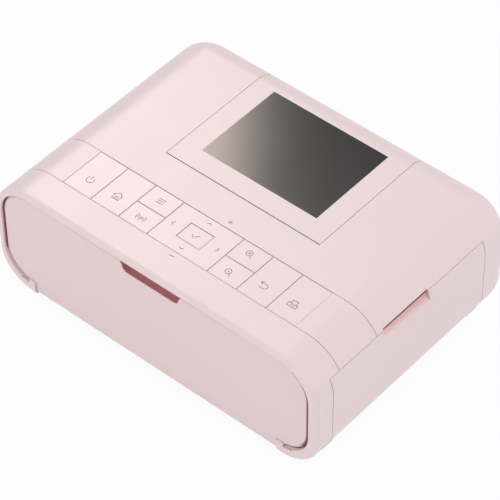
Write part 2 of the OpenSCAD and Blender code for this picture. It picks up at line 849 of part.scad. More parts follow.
// The ring that lets the pad rock both ways: pins to the tray along X, to the pad along Y
module pad_gimbal() {
    h = gimbal_hole / 2;
    g = gimbal / 2;
    color(grey) {
        difference() {
            block([-g[0], g[0]], [strip_mid - g[1], strip_mid + g[1]], [tray_z + 0.2, pocket_z - 0.2]);
            block([-h[0], h[0]], [strip_mid - h[1], strip_mid + h[1]], [tray_z - 1, pocket_z + 1]);
        }
        for (s = [-1, 1]) {
            rod_x([strip_mid, gimbal_z], gimbal_pin_r, s > 0 ? g[0] - 0.5 : -g[0] - 1.6,
                s > 0 ? g[0] + 1.6 : -g[0] + 0.5, 32);
            y = strip_mid + s * h[1];
            rod_y([0, gimbal_z], gimbal_pin_r, s > 0 ? y - 1.3 : y - 0.2, s > 0 ? y + 0.2 : y + 1.3, 32);
        }
    }
}

module ok_key() {
    g = key_gap / 2;
    color(pink) {
        cap(-ok_w / 2 - g, ok_w / 2 + g, strip_mid - ok_d / 2 - g, strip_mid + ok_d / 2 + g);
        block([-stem[0] / 2, stem[0] / 2], [strip_mid - stem[1] / 2, strip_mid + stem[1] / 2],
            [stem_end, body_h - key_t + eps]);
    }
}

dome_at = concat(stems, pad_stems, [[0, strip_mid]]);

module dome_sheet() {
    z = key_board_z + board_t;
    color(grey) {
        block([-band_half + 3, band_half - 3], [strip_y0 + 1, strip_y1 - 1], [z, z + sheet_t]);
        for (p = dome_at) translate([p[0], p[1], z + sheet_t - eps])
            cylinder(r1 = 1.9, r2 = 1.3, h = dome_h + eps, $fn = 32);
    }
}

module key_board() {
    color([0.1, 0.35, 0.2]) difference() {
        block([-band_half, band_half], [strip_y0 - 1, strip_y1 + 1], [key_board_z, key_board_z + board_t]);
        for (s = [-1, 1]) translate([s * (band_half - 1.6), strip_mid, key_board_z - 1])
            cylinder(r = board_pin_r + 0.02, h = 4, $fn = 32);
    }
}

// ---------- Electronics ----------

main_x = [62.4, 84];
main_y = [slot_front - 2, side_y1 - 2];
main_z = side_top - 3;
socket_y = slot_front + (slot_len - 26) / 2;

module main_board() {
    z = main_z + 1.6;
    color([0.1, 0.35, 0.2]) {
        block(main_x, main_y, [main_z, z]);
        block([main_x[0] + 8, main_x[0] + 18], [12, 22], [z, z + 1.4]);
        for (i = [0:2]) block([main_x[0] + 7 + i * 4.5, main_x[0] + 10 + i * 4.5], [28, 34], [z, z + 1.8]);
    }
}

module card_socket() {
    z = main_z + 1.6;
    color(steel) difference() {
        block([main_x[0], main_x[1]], [socket_y, socket_y + 26], [z, z + 3.4]);
        block([main_x[0] + 2, big], [socket_y + 1, socket_y + 25], [z + 0.5, z + 2.9]);
    }
}

module port_board() {
    x = -half_w + wall + 0.8;
    color([0.1, 0.35, 0.2])
        block([x, x + 15], [sockets[0][0] - 9, sockets[1][0] + 8], [socket_z - 1.4, socket_z]);
}

module usb_sockets() {
    x = -half_w + 0.6;
    t = 0.4;
    color(steel) for (k = sockets) {
        w = k[1] / 2;
        difference() {
            block([x, x + k[3]], [k[0] - w, k[0] + w], [socket_z, socket_z + k[2]]);
            block([x - 1, x + k[3] - 1], [k[0] - w + t, k[0] + w - t], [socket_z + t, socket_z + k[2] - t]);
        }
        block([x + 1, x + k[3] - 0.5], [k[0] - w + 1.2, k[0] + w - 1.2],
            [socket_z + k[2] / 2 - 0.5, socket_z + k[2] / 2 + 0.5]);
    }
}

module dc_inlet() {
    color(black) {
        difference() {
            rod_y(inlet_at, inlet_r, rear_y - 12, rear_y - 0.4);
            rod_y(inlet_at, 2.9, rear_y - 10, rear_y + 1);
        }
        rod_y(inlet_at, 0.9, rear_y - 11, rear_y - 1.2, 32);
        block([inlet_at[0] - 6, inlet_at[0] + 6], [rear_y - 14, rear_y - 11.9],
            [inlet_at[1] - 6, inlet_at[1] + 6]);
    }
}

// ---------- Print engine ----------

bush_r = shaft_r + 1.4;
axles = [platen, feed, pickup];

module plate_profile(points) {
    rotate([90, 0, 90]) linear_extrude(plate_t) polygon(points);
}

plate_rear = rear_y - rear_round - 0.5;
plate_front = pickup[0] - 7;

module left_side_plate() {
    color(steel) difference() {
        translate([-plate_x - plate_t, 0, 0]) plate_profile([[plate_front, floor_z],
            [plate_rear, floor_z], [plate_rear, top_plate_z], [plate_front + 14, top_plate_z],
            [plate_front, pickup[1] + 8]]);
        for (p = axles) rod_x(p, bush_r, -plate_x - 3, -plate_x + 1);
        rod_x(pinch, shaft_r + run_fit, -plate_x - 3, -plate_x + 1);
        for (p = [idler, pickup_idler_at]) rod_x(p, 1.5, -plate_x - 3, -plate_x + 1);
        rod_x(take_up, shaft_r + run_fit, -plate_x - 3, -plate_x + 1);
        rod_x(pinion, 4.8, -plate_x - 3, -plate_x + 1);
    }
}

module right_side_plate() {
    low = floor_z + 16.4;
    y0 = supply[0] - tube_r - 1;
    y1 = take_up[0] + tube_r + 1;
    color(steel) difference() {
        translate([plate_x, 0, 0]) plate_profile([[plate_front, floor_z], [plate_rear, floor_z],
            [plate_rear, top_plate_z], [y1, top_plate_z], [y1, low], [y0, low],
            [y0, pickup[1] + 8], [plate_front, pickup[1] + 8]]);
        for (p = axles) rod_x(p, bush_r, plate_x - 1, plate_x + 3);
        rod_x(pinch, shaft_r + run_fit, plate_x - 1, plate_x + 3);
    }
}

module engine_top_plate() {
    y0 = supply[0] - 2;
    color(steel) {
        block([-plate_x - plate_t, plate_x + plate_t], [y0, plate_rear], [top_plate_z, top_plate_z + 1.2]);
        block([-plate_x, plate_x], [plate_rear - 1.2, plate_rear], [top_plate_z - 6, top_plate_z]);
    }
}

module roller_bushes() {
    color([0.85, 0.83, 0.78]) for (p = axles, s = [-1, 1]) {
        x = s * (plate_x + plate_t / 2);
        difference() {
            union() {
                rod_x(p, bush_r, x - 0.6, x + 0.6);
                rod_x(p, bush_r + 0.9, s > 0 ? x - 1.4 : x + 0.6, s > 0 ? x - 0.6 : x + 1.4);
            }
            rod_x(p, shaft_r + run_fit, x - 3, x + 3);
        }
    }
}

module idler_studs() {
    color(steel) for (p = [idler, pickup_idler_at]) {
        rod_x(p, 1.5, gear_x - gear_face - 0.6, -plate_x, 32);
        rod_x(p, 2.2, gear_x - gear_face - 1.2, gear_x - gear_face - 0.5, 32);
    }
}

bay_z = floor_z + 1.4;
bay_rear = front_y + bay_depth;
bay_front = cover_axis_y + sweep_r + 1;

module paper_bay() {
    t = 1.2;
    x = bay_w / 2;
    slot = pickup_r + 1.5;
    color(grey) difference() {
        block([-x - t, x + t], [bay_front, bay_rear], [floor_z, bay_z + bay_h + t]);
        block([-x, x], [bay_front - 1, bay_rear - 2], [bay_z, bay_z + bay_h]);
        // Where the sheets leave towards the platen
        block([-x + 3, x - 3], [bay_rear - 3, bay_rear + 1], [bay_z + bay_h - 8, bay_z + bay_h - 3]);
        // Slot for the pickup roller
        block([-18, 18], [pickup[0] - slot, pickup[0] + slot], [bay_z + bay_h - 1, big]);
    }
}

module exit_guide() {
    y1 = rear_y - wall - 2.1;
    color(grey) intersection() {
        union() {
            block([-exit_w / 2, exit_w / 2], [feed[0] + feed_r + 1, y1],
                [exit_z - 1.4, exit_z - 0.2]);
            for (x = [-36, 0, 36])
                block([x - 0.8, x + 0.8], [feed[0] + feed_r + 1, y1], [floor_z, exit_z - 1.4]);
        }
        case_form(wall);
    }
}

module thermal_head() {
    color([0.35, 0.33, 0.32]) {
        block([-head_half, head_half], [platen[0] - 4, platen[0] + 4], [head_z + 0.6, head_z + 3]);
        intersection() {
            rod_x([platen[0], head_z + 3.4], 3.4, -head_half + 1, head_half - 1);
            block([-big, big], [platen[0] - 2.4, platen[0] + 2.4], [0, head_z + 1]);
        }
    }
}

module head_heat_sink() {
    color(grey) {
        block([-head_half, head_half], [platen[0] - 4, platen[0] + 4], [head_z + 3, head_z + 6]);
        for (y = [-3.4, 0, 3.4])
            block([-head_half, head_half], [platen[0] + y - 0.6, platen[0] + y + 0.6],
                [head_z + 6, top_plate_z]);
    }
}

// ---------- Rollers and gears ----------

// Half an involute tooth's flank, then its mirror image: points of one tooth
function tooth(n, a) = let (
    rp = gear_m * n / 2,
    base = rp * cos(20),
    r0 = max(base, rp - 1.1 * gear_m),
    r1 = rp + 0.9 * gear_m,
    half = 90 / n + involute_angle(base, rp) - backlash / rp * 180 / PI / 2,
    up = [for (i = [0:4]) let (r = r0 + (r1 - r0) * i / 4)
        [r, half - involute_angle(base, r)]]
) concat([polar(rp - 1.25 * gear_m, a - 180 / n)], [polar(rp - 1.25 * gear_m, a - up[0][1])],
    [for (p = up) polar(p[0], a - p[1])], [for (i = [4:-1:0]) polar(up[i][0], a + up[i][1])],
    [polar(rp - 1.25 * gear_m, a + up[0][1])]);

// A spur gear on the axis at, its bore ready for a shaft of radius bore
module gear(at, n, phase, bore, x0) {
    rp = gear_m * n / 2;
    translate([x0, at[0], at[1]]) rotate([90, 0, 90]) difference() {
        linear_extrude(gear_face) rotate(phase) polygon([for (i = [0:n - 1]) each tooth(n, i * 360 / n)]);
        translate([0, 0, -1]) cylinder(r = bore, h = gear_face + 2, $fn = 48);
        // Thinned web between hub and rim
        if (rp > 5) translate([0, 0, gear_face - 1.2]) difference() {
            cylinder(r = rp - 1.9, h = 2);
            cylinder(r = bore + 1.2, h = 2);
        }
    }
}

platen_phase = 0;
idler_phase = mesh_phase(platen_phase, platen_teeth, idler_teeth, 0);
feed_phase = mesh_phase(idler_phase, idler_teeth, feed_teeth, 0);
take_up_phase = mesh_phase(idler_phase, idler_teeth, take_up_teeth, 97.5);
pinion_phase = mesh_phase(platen_phase, platen_teeth, pinion_teeth, 144);
pickup_idler_phase = mesh_phase(pinion_phase, pinion_teeth, pickup_idler_teeth, 155);
pickup_phase = mesh_phase(pickup_idler_phase, pickup_idler_teeth, pickup_teeth, 155);
gear_x0 = gear_x - gear_face;

module platen_roller() {
    color(black) difference() {
        rod_x(platen, platen_r, -head_half - 1, head_half + 1, 64);
        rod_x(platen, shaft_r, -big, big);
    }
}

module platen_shaft() {
    color(steel) rod_x(platen, shaft_r, gear_x0 - 0.4, plate_x + plate_t + 1);
}

module platen_gear() {
    color(grey) gear(platen, platen_teeth, platen_phase, shaft_r, gear_x0);
}

module idler_gear() {
    color(grey) gear(idler, idler_teeth, idler_phase, 1.5 + run_fit, gear_x0);
}

// Knurled feed roller, its shaft and its three grip lands in one piece
module feed_roller() {
    color(steel) {
        rod_x(feed, shaft_r, gear_x0 - 0.4, plate_x + plate_t + 1);
        rod_x(feed, feed_r - 0.6, -head_half, head_half, 64);
        for (x = [-38, 0, 38]) rod_x(feed, feed_r, x - 9, x + 9, 64);
    }
}

module feed_gear() {
    color(grey) gear(feed, feed_teeth, feed_phase, shaft_r, gear_x0);
}

module pinch_roller() {
    color(black) {
        rod_x(pinch, shaft_r, -plate_x - plate_t - 0.4, plate_x + plate_t + 0.4);
        for (x = [-38, 0, 38]) rod_x(pinch, pinch_r, x - 8, x + 8);
    }
}

motor_r = 9;
motor_x = gear_x0 - 3;
pinion_shaft_r = 1;

module drive_motor() {
    color(steel) difference() {
        union() {
            rod_x(pinion, motor_r, motor_x - 12, motor_x, 64);
            rod_x(pinion, 2.6, motor_x - 0.1, motor_x + 1);
            for (a = [75, 225]) {
                rod_x(pinion + polar(motor_r + 3.5, a), 2, motor_x - 1.2, -plate_x - plate_t, 32);
                translate([motor_x - 1.2, pinion[0], pinion[1]]) rotate([a, 0, 0])
                    cube([1.2, motor_r + 3.5, 3]);
            }
        }
        rod_x(pinion, pinion_shaft_r + run_fit, motor_x - 10, big);
    }
}

module motor_pinion() {
    color([0.8, 0.7, 0.4]) {
        gear(pinion, pinion_teeth, pinion_phase, pinion_shaft_r, gear_x0);
        rod_x(pinion, pinion_shaft_r, motor_x - 9.6, gear_x);
    }
}

module pickup_idler() {
    color(grey) gear(pickup_idler_at, pickup_idler_teeth, pickup_idler_phase, 1.5 + run_fit, gear_x0);
}

module pickup_roller() {
    color(black) {
        rod_x(pickup, shaft_r, gear_x0 - 0.4, plate_x + plate_t + 1);
        rod_x(pickup, pickup_r, -15, 15, 64);
    }
}

module pickup_gear() {
    color(grey) gear(pickup, pickup_teeth, pickup_phase, shaft_r, gear_x0);
}

// ---------- Ink cassette ----------

tube_open = 6;

// The cassette's section: two tubes open towards the print head
module cassette_case_section() {
    for (k = [[supply, 1], [take_up, -1]]) translate(k[0]) difference() {
        circle(tube_r);
        circle(tube_r - tube_wall);
        translate([k[1] > 0 ? 0 : -tube_r - 1, -tube_r - 1]) square([tube_r + 1, tube_open]);
    }
}

// Its end walls: both tubes' ends and the bridge between them
module cassette_end_section() {
    difference() {
        union() {
            for (p = [supply, take_up]) translate(p) circle(tube_r);
            translate([supply[0], supply[1] + 2]) square([take_up[0] - supply[0], 6]);
        }
        for (p = [supply, take_up]) translate(p) circle(shaft_r + run_fit);
    }
}

module cassette_part(x0, x1) {
    translate([x0, 0, 0]) rotate([90, 0, 90]) linear_extrude(x1 - x0) children();
}

module ink_cassette_case() {
    color([0.75, 0.75, 0.76]) {
        cassette_part(cassette_x0 + 1.5, cassette_x1 - 1.5) cassette_case_section();
        cassette_part(cassette_x0, cassette_x0 + 1.5) cassette_end_section();
        cassette_part(cassette_x1 - 1.5, cassette_x1) cassette_end_section();
        block([cassette_x1, cassette_x1 + 8], [platen[0] - 8, platen[0] + 8],
            [supply[1] + 4, supply[1] + 6]);
    }
}

supply_r = 6;
take_up_r = 4;

module ribbon_run(a, b) {
    t = 0.12;
    polygon([a, b, b + [0, t], a + [0, t]]);
}

module ink_ribbon() {
    low = head_z - 0.25;
    color([0.25, 0.2, 0.3]) cassette_part(-head_half + 2, head_half - 2) {
        ribbon_run([supply[0] + 1, supply[1] - supply_r - 0.4], [platen[0] - 5, low]);
        ribbon_run([platen[0] - 5, low], [platen[0] + 5, low]);
        ribbon_run([platen[0] + 5, low], [take_up[0] - 1, take_up[1] - take_up_r - 0.5]);
    }
}

module spool(at, r, x0) {
    rod_x(at, shaft_r, x0, cassette_x1 - 0.2);
    rod_x(at, r, -head_half + 1, head_half - 1, 64);
}

module supply_spool() {
    color([0.3, 0.25, 0.35]) spool(supply, supply_r, cassette_x0 + 0.2);
}

module take_up_spool() {
    color([0.3, 0.25, 0.35]) spool(take_up, take_up_r, gear_x0 - 0.4);
}

module take_up_gear() {
    color(grey) gear(take_up, take_up_teeth, take_up_phase, shaft_r, gear_x0);
}

front_frame();
control_strip();
top_cover();
left_side_panel();
bottom_cover();
rear_panel();
foot_pads();
case_screws();
front_cover();
ink_door();
ink_door_rod();
lcd_bezel();
lcd_back_cover();
lcd_window();
lcd_module();
lcd_hinge_pins();
power_key();
home_key();
menu_key();
wireless_key();
direction_pad();
pad_gimbal();
ok_key();
zoom_in_key();
zoom_out_key();
back_key();
print_key();
dome_sheet();
key_board();
main_board();
card_socket();
port_board();
usb_sockets();
dc_inlet();
left_side_plate();
right_side_plate();
engine_top_plate();
roller_bushes();
paper_bay();
exit_guide();
thermal_head();
head_heat_sink();
platen_roller();
platen_shaft();
platen_gear();
idler_gear();
feed_roller();
feed_gear();
pinch_roller();
drive_motor();
motor_pinion();
pickup_idler();
pickup_roller();
pickup_gear();
ink_cassette_case();
ink_ribbon();
supply_spool();
take_up_spool();
take_up_gear();
idler_studs();
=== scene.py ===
# %% [markdown]
# # A compact photo printer
# The printer is a shallow pink box with a round-cornered front cover, a band of flat keys and a
# display that tilts out of its top. The CAD model already holds the forms and the joints, so
# this lesson loads it as a fixed frame and gives it light, finishes and the fine pieces that a
# solid model leaves out. The scene is in metres. The sizes below are in millimetres, and MM
# turns them into metres.

# %% Load the frame
import json
import bmesh
import bpy
import numpy as np
from mathutils import Matrix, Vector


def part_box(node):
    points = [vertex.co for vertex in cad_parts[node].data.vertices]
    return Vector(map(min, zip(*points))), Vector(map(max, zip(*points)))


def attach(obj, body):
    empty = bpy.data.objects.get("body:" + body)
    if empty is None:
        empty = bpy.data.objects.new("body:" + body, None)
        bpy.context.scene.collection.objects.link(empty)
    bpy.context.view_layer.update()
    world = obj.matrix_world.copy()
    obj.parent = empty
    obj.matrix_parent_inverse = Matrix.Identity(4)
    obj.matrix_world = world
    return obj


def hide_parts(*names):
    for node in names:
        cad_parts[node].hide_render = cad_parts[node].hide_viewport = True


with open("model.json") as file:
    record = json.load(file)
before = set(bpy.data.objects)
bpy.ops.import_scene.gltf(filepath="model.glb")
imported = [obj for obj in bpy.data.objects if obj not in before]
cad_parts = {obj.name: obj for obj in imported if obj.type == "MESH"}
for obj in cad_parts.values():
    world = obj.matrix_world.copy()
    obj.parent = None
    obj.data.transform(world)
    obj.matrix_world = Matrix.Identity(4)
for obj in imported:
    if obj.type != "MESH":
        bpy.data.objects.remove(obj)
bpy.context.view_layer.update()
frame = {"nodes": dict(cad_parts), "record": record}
nodes = frame["nodes"]
bodies = frame["record"]["behaviour"]["bodies"]
body_of = {node: body for body, members in bodies.items() for node in members}
MM = 0.001
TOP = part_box("lcd_window")[1].z / MM
print(len(nodes), "nodes, top at", round(TOP, 2), "mm")

# %% [markdown]
# ## The camera
# The photograph was taken from high up on the right with a long lens, which keeps the box's
# edges almost parallel. A camera could be aimed with a constraint, but here its position and its
# three axes are computed from the view's two angles, its distance and the picture's small roll,
# because the card for the display is later placed from the same numbers.

# %% Place the camera
AZIMUTH, ELEVATION, ROLL = np.radians([41.06, 45.97, -0.68])
DISTANCE = 1.2062
AIM = np.array([0.0, -0.00115, 0.030])


def unit(vector):
    """A vector over its own length."""
    return vector / np.linalg.norm(vector)


def axes_matrix(right, up, back, place):
    """The matrix whose columns are an object's three axes and its place."""
    pose = np.eye(4)
    pose[:3] = np.column_stack([right, up, back, place])
    return Matrix(pose.tolist())


def camera_axes(azimuth, elevation, roll):
    """Right, up and back: back points from the aim at the camera, right is level before the
    roll, up is their cross product, and the roll turns right and up in their own plane."""
    back = np.array([np.sin(azimuth) * np.cos(elevation),
                     -np.cos(azimuth) * np.cos(elevation), np.sin(elevation)])
    level = np.array([np.cos(azimuth), np.sin(azimuth), 0.0])
    upright = np.cross(back, level)
    right = np.cos(roll) * level + np.sin(roll) * upright
    up = -np.sin(roll) * level + np.cos(roll) * upright
    return right, up, back


right, up, back = camera_axes(AZIMUTH, ELEVATION, ROLL)
EYE = AIM + back * DISTANCE
camera = bpy.data.objects.new("photo_camera", bpy.data.cameras.new("photo_camera"))
camera.data.lens = 199.84
camera.data.shift_x = -0.0035
camera.data.shift_y = -0.0116
camera.data.clip_end = 20
camera.matrix_world = axes_matrix(right, up, back, EYE)
bpy.context.scene.collection.objects.link(camera)
bpy.context.scene.camera = camera
print("camera", np.round(EYE, 3))

# %% [markdown]
# ## Mesh from numbers
# Every new piece is a surface worked out with numpy. Most of them are a small closed outline
# carried along a path. The grid of points is made as one array and its faces follow from the
# array's shape, so one helper serves the printed signs, the chips and the leads alike.

# %% Put arrays into meshes
def put_mesh(name, shape, body, material):
    """A mesh object from a pair: an array of points in millimetres and a list of faces."""
    points, faces = shape
    mesh = bpy.data.meshes.new(name)
    mesh.from_pydata((np.asarray(points) * MM).tolist(), [], [list(f) for f in faces])
    mesh.validate()
    piece = bpy.data.objects.new(name, mesh)
    bpy.context.scene.collection.objects.link(piece)
    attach(piece, body)
    mesh.materials.append(material)


def join(shapes):
    """Several shapes as one, each one's faces counted on from the last one's points."""
    points, faces, start = [], [], 0
    for new_points, new_faces in shapes:
        points.append(new_points)
        faces += [tuple(np.add(face, start)) for face in new_faces]
        start += len(new_points)
    return np.vstack(points), faces


def stroke(path, width, low, high, closed=False):
    """A flat bar along a path: at each point the two edges stand half a width to each side
    along the mitre, the sum of the neighbouring segments' normals over one plus their dot. The
    four corners of each cross-section are numbered round it, and a quad joins each side of a
    section to the next one's, seen from outside."""
    path = np.asarray(path, float)
    steps = (np.roll(path, -1, 0) - path) if closed else np.diff(path, axis=0)
    normals = np.c_[-steps[:, 1], steps[:, 0]] / np.linalg.norm(steps, axis=1)[:, None]
    after = normals if closed else np.vstack([normals, normals[-1]])
    before = np.roll(normals, 1, 0) if closed else np.vstack([normals[0], normals])
    mitre = (before + after) / (1 + (before * after).sum(1))[:, None] * width / 2
    count = len(path)
    sections = np.stack([np.c_[path + side * mitre, np.full(count, level)]
                         for side, level in ((1, low), (-1, low), (-1, high), (1, high))], axis=1)
    here = np.arange(count if closed else count - 1)[:, None] * 4
    there = (here + 4) % (count * 4)
    corner = np.arange(4)[None, :]
    following = (corner + 1) % 4
    quads = np.stack([there + corner, there + following, here + following, here + corner], axis=2)
    faces = [tuple(quad) for quad in quads.reshape(-1, 4)]
    if not closed:
        faces += [(0, 1, 2, 3), tuple(4 * count - 1 - np.arange(4))]
    return sections.reshape(-1, 3), faces


def arc(centre, radius, start, end, count=24):
    """Points on a circle: the centre plus the radius times the cosine and sine of the angle."""
    angles = np.radians(np.linspace(start, end, count))
    return np.c_[centre[0] + radius * np.cos(angles), centre[1] + radius * np.sin(angles)]


print("mesh helpers ready")

# %% [markdown]
# ## Shared shader effects
# Several finishes use the same effects: the fine spark-eroded grain of a moulded shell, a slow
# drift of tone, the drawn lines of rolled metal and a painted shade in a box, a deeper tone that
# stands in for the shade in a recess. They could be built again in each material, but as node
# groups with named inputs they are built once, and a material only has to set its own values.
# The groups put out colours, values and normals; the shader itself stays in each material.

# %% Helpers for nodes
def add(tree, kind, sources=(), **settings):
    """A shader node of a kind, with its settings. The sources say for each input which socket
    feeds it, or which plain value it holds."""
    node = tree.nodes.new("ShaderNode" + kind)
    for name, value in settings.items():
        setattr(node, name, value)
    for key, source in dict(sources).items():
        if isinstance(source, bpy.types.NodeSocket):
            tree.links.new(source, node.inputs[key])
        else:
            node.inputs[key].default_value = source
    return node


def calculate(tree, operation, *values, clamp=False):
    """The result of one arithmetic step on sockets or plain values."""
    step = add(tree, "Math", enumerate(values), operation=operation, use_clamp=clamp)
    return step.outputs[0]


def blend(tree, factor, first, second):
    """The first colour where the factor is zero and the second where it is one; inputs 6 and
    7 and output 2 are the colour ones of the mixing node."""
    return add(tree, "Mix", {"Factor": factor, 6: first, 7: second}, data_type="RGBA").outputs[2]


def noise(tree, scale, detail):
    """The value of a noise on Object coordinates, whose scale is in waves per metre."""
    here = add(tree, "TexCoord").outputs["Object"]
    texture = add(tree, "TexNoise", {"Vector": here, "Scale": scale, "Detail": detail,
                                     "Roughness": 0.55})
    return texture.outputs["Fac"]


def new_group(name, inputs, outputs):
    """An empty shader group and its sockets inside: each is (name, kind, default)."""
    group = bpy.data.node_groups.new(name, "ShaderNodeTree")
    for direction, sockets in (("INPUT", inputs), ("OUTPUT", outputs)):
        for label, kind, default in sockets:
            item = group.interface.new_socket(label, in_out=direction,
                                              socket_type="NodeSocket" + kind)
            if default is not None:
                item.default_value = default
    enter = group.nodes.new("NodeGroupInput")
    leave = group.nodes.new("NodeGroupOutput")
    return group, enter.outputs, leave.inputs


print("node helpers ready")

# %% Build the node groups
GRAIN_DEPTH = 0.02 * MM


def grain_group():
    """Grain: noise as a height, turned into a normal by a bump of the given strength."""
    group, enter, leave = new_group(
        "moulded_grain", [("Scale", "Float", 2500.0), ("Strength", "Float", 0.1)],
        [("Normal", "Vector", None)])
    bump = add(group, "Bump", {"Height": noise(group, enter["Scale"], 2.0),
                               "Strength": enter["Strength"], "Distance": GRAIN_DEPTH})
    group.links.new(bump.outputs["Normal"], leave["Normal"])
    return group


def drift_group():
    """Tone drift: the colour runs over into its neighbour by slow noise, and the roughness is
    the given one plus the spread times the noise less a half."""
    group, enter, leave = new_group(
        "tone_drift", [("Color", "Color", (0.8, 0.8, 0.8, 1)),
                       ("Other", "Color", (0.7, 0.7, 0.7, 1)), ("Scale", "Float", 40.0),
                       ("Roughness", "Float", 0.4), ("Spread", "Float", 0.05)],
        [("Color", "Color", None), ("Roughness", "Float", None)])
    slow = noise(group, enter["Scale"], 4.0)
    group.links.new(blend(group, slow, enter["Color"], enter["Other"]), leave["Color"])
    centred = calculate(group, "SUBTRACT", slow, 0.5)
    uneven = calculate(group, "MULTIPLY_ADD", centred, enter["Spread"], enter["Roughness"])
    group.links.new(uneven, leave["Roughness"])
    return group


def drawn_group():
    """Drawn lines: noise on coordinates that are multiplied by a different stretch on each
    axis, as a value and as a bumped normal."""
    group, enter, leave = new_group(
        "drawn_lines", [("Stretch", "Vector", (30.0, 3000.0, 3000.0)),
                        ("Strength", "Float", 0.15)],
        [("Fac", "Float", None), ("Normal", "Vector", None)])
    here = add(group, "TexCoord").outputs["Object"]
    stretched = add(group, "VectorMath", {0: here, 1: enter["Stretch"]}, operation="MULTIPLY")
    lines = add(group, "TexNoise", {"Vector": stretched.outputs[0], "Scale": 1.0}).outputs["Fac"]
    bump = add(group, "Bump", {"Height": lines, "Strength": enter["Strength"],
                               "Distance": GRAIN_DEPTH})
    group.links.new(lines, leave["Fac"])
    group.links.new(bump.outputs["Normal"], leave["Normal"])
    return group


def shade_box_group():
    """Painted shade box: one within a box of Object coordinates and zero outside, which marks
    where a finish paints shade. On each axis the distances past Low and before High are divided
    by Soft and held between zero and one, and the six results are multiplied together."""
    group, enter, leave = new_group(
        "painted_shade_box", [("Low", "Vector", (0, 0, 0)), ("High", "Vector", (1, 1, 1)),
                        ("Soft", "Float", 0.0002)], [("Fac", "Float", None)])
    here = add(group, "TexCoord").outputs["Object"]
    factors = []
    for first, second in ((here, enter["Low"]), (enter["High"], here)):
        past = add(group, "VectorMath", {0: first, 1: second}, operation="SUBTRACT")
        axes = add(group, "SeparateXYZ", {0: past.outputs[0]}).outputs
        factors += [calculate(group, "DIVIDE", axis, enter["Soft"], clamp=True) for axis in axes]
    total = factors[0]
    for factor in factors[1:]:
        total = calculate(group, "MULTIPLY", total, factor)
    group.links.new(total, leave["Fac"])
    return group


GRAIN, DRIFT, DRAWN, SHADE_BOX = grain_group(), drift_group(), drawn_group(), shade_box_group()
print("groups:", GRAIN.name, DRIFT.name, DRAWN.name, SHADE_BOX.name)

# %% [markdown]
# ## Finishes
# A moulded plastic is a colour that drifts a little, a roughness that follows it and a fine
# grain in the normal. Rolled metal swaps the grain for drawn lines. Each finish could be a
# material built by hand, but two makers cover all of the printer's parts, so that a finish is
# one line with its colours, its roughness and its grain.

# %% Makers for the materials
def linear(r, g, b):
    """A colour written in screen values from 0 to 255, as the linear values a shader takes."""
    screen = np.array([r, g, b]) / 255
    values = np.where(screen <= 0.04045, screen / 12.92, ((screen + 0.055) / 1.055) ** 2.4)
    return (*values.tolist(), 1.0)


def new_material(name):
    """A material, its tree and its shader node."""
    material = bpy.data.materials.new(name)
    material.use_nodes = True
    return material, material.node_tree, material.node_tree.nodes["Principled BSDF"]


def use(tree, group, **values):
    """One of the node groups in a material, with its inputs set."""
    return add(tree, "Group", values, node_tree=group)


def moulded(name, colour, other, roughness=0.38, spread=0.06, drift=35.0, grain=2600.0,
            strength=0.12, coat=0.0, mirror=0.5, pocket=None, shade_tone=None, soft=0.2):
    """A moulded finish; its weights that are the same all over sit on the shader's sockets. A
    pocket is a box in millimetres, in which the colour runs over into the given tone of painted
    shade."""
    material, tree, shader = new_material(name)
    tone = use(tree, DRIFT, Color=linear(*colour), Other=linear(*other), Scale=drift,
               Roughness=roughness, Spread=spread)
    fine = use(tree, GRAIN, Scale=grain, Strength=strength)
    tint = tone.outputs["Color"]
    if pocket is not None:
        low, high = (tuple(np.array(corner) * MM) for corner in pocket)
        # Within the box the colour runs over into the tone of painted shade, which stands in for
        # the shade in a recess.
        shade_mask = use(tree, SHADE_BOX, Low=low, High=high, Soft=soft * MM)
        tint = blend(tree, shade_mask.outputs["Fac"], tint, linear(*shade_tone))
    tree.links.new(tint, shader.inputs["Base Color"])
    tree.links.new(tone.outputs["Roughness"], shader.inputs["Roughness"])
    tree.links.new(fine.outputs["Normal"], shader.inputs["Normal"])
    shader.inputs["Coat Weight"].default_value = coat
    shader.inputs["Specular IOR Level"].default_value = mirror
    return material


def rolled(name, colour, other, roughness=0.32, stretch=(30.0, 3000.0, 3000.0)):
    """A metal finish: drawn lines steer the tone and the normal."""
    material, tree, shader = new_material(name)
    lines = use(tree, DRAWN, Stretch=stretch)
    tint = blend(tree, lines.outputs["Fac"], linear(*colour), linear(*other))
    tree.links.new(tint, shader.inputs["Base Color"])
    tree.links.new(lines.outputs["Normal"], shader.inputs["Normal"])
    shader.inputs["Metallic"].default_value = 1.0
    shader.inputs["Roughness"].default_value = roughness
    return material


print("material makers ready")

# %% [markdown]
# The case is a pale pink, its front cover a little deeper and its keys a little paler. Inside
# there are grey frames, white gears, black rubber and plain steel. The finger notch in the cover
# and the scoop under the card slot get painted shade: a deeper tone that stands in for the shade
# in them, where little light gets in. Their faces could have a material of their own, but a box
# of painted shade in the finish of the cover and the door reaches the same spots and needs no
# change to the CAD meshes.

# %% Measure the notch and the scoop
# The cover's face in y. Its box begins further forward, at the curl along its lower edge.
COVER_FACE = -65.9
COVER_SIDE, COVER_TOP = (np.array(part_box("front_cover")[1]) / MM)[[0, 2]]
DOOR_SIDE, DOOR_TOP = (np.array(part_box("ink_door")[1]) / MM)[[0, 2]]
# The painted shade begins a skin's thickness behind the face, so that the face keeps its own
# colour. Each box stands out a little past its pocket, where there is nothing else for it to
# reach.
FACE_SKIN = 0.2
NOTCH_HALF, NOTCH_HIGH, NOTCH_BACK, NOTCH_OVER = 19.5, 7.4, 9, 1
notch = ((-NOTCH_HALF, COVER_FACE + FACE_SKIN, COVER_TOP - NOTCH_HIGH),
         (NOTCH_HALF, COVER_FACE + NOTCH_BACK, COVER_TOP + NOTCH_OVER))
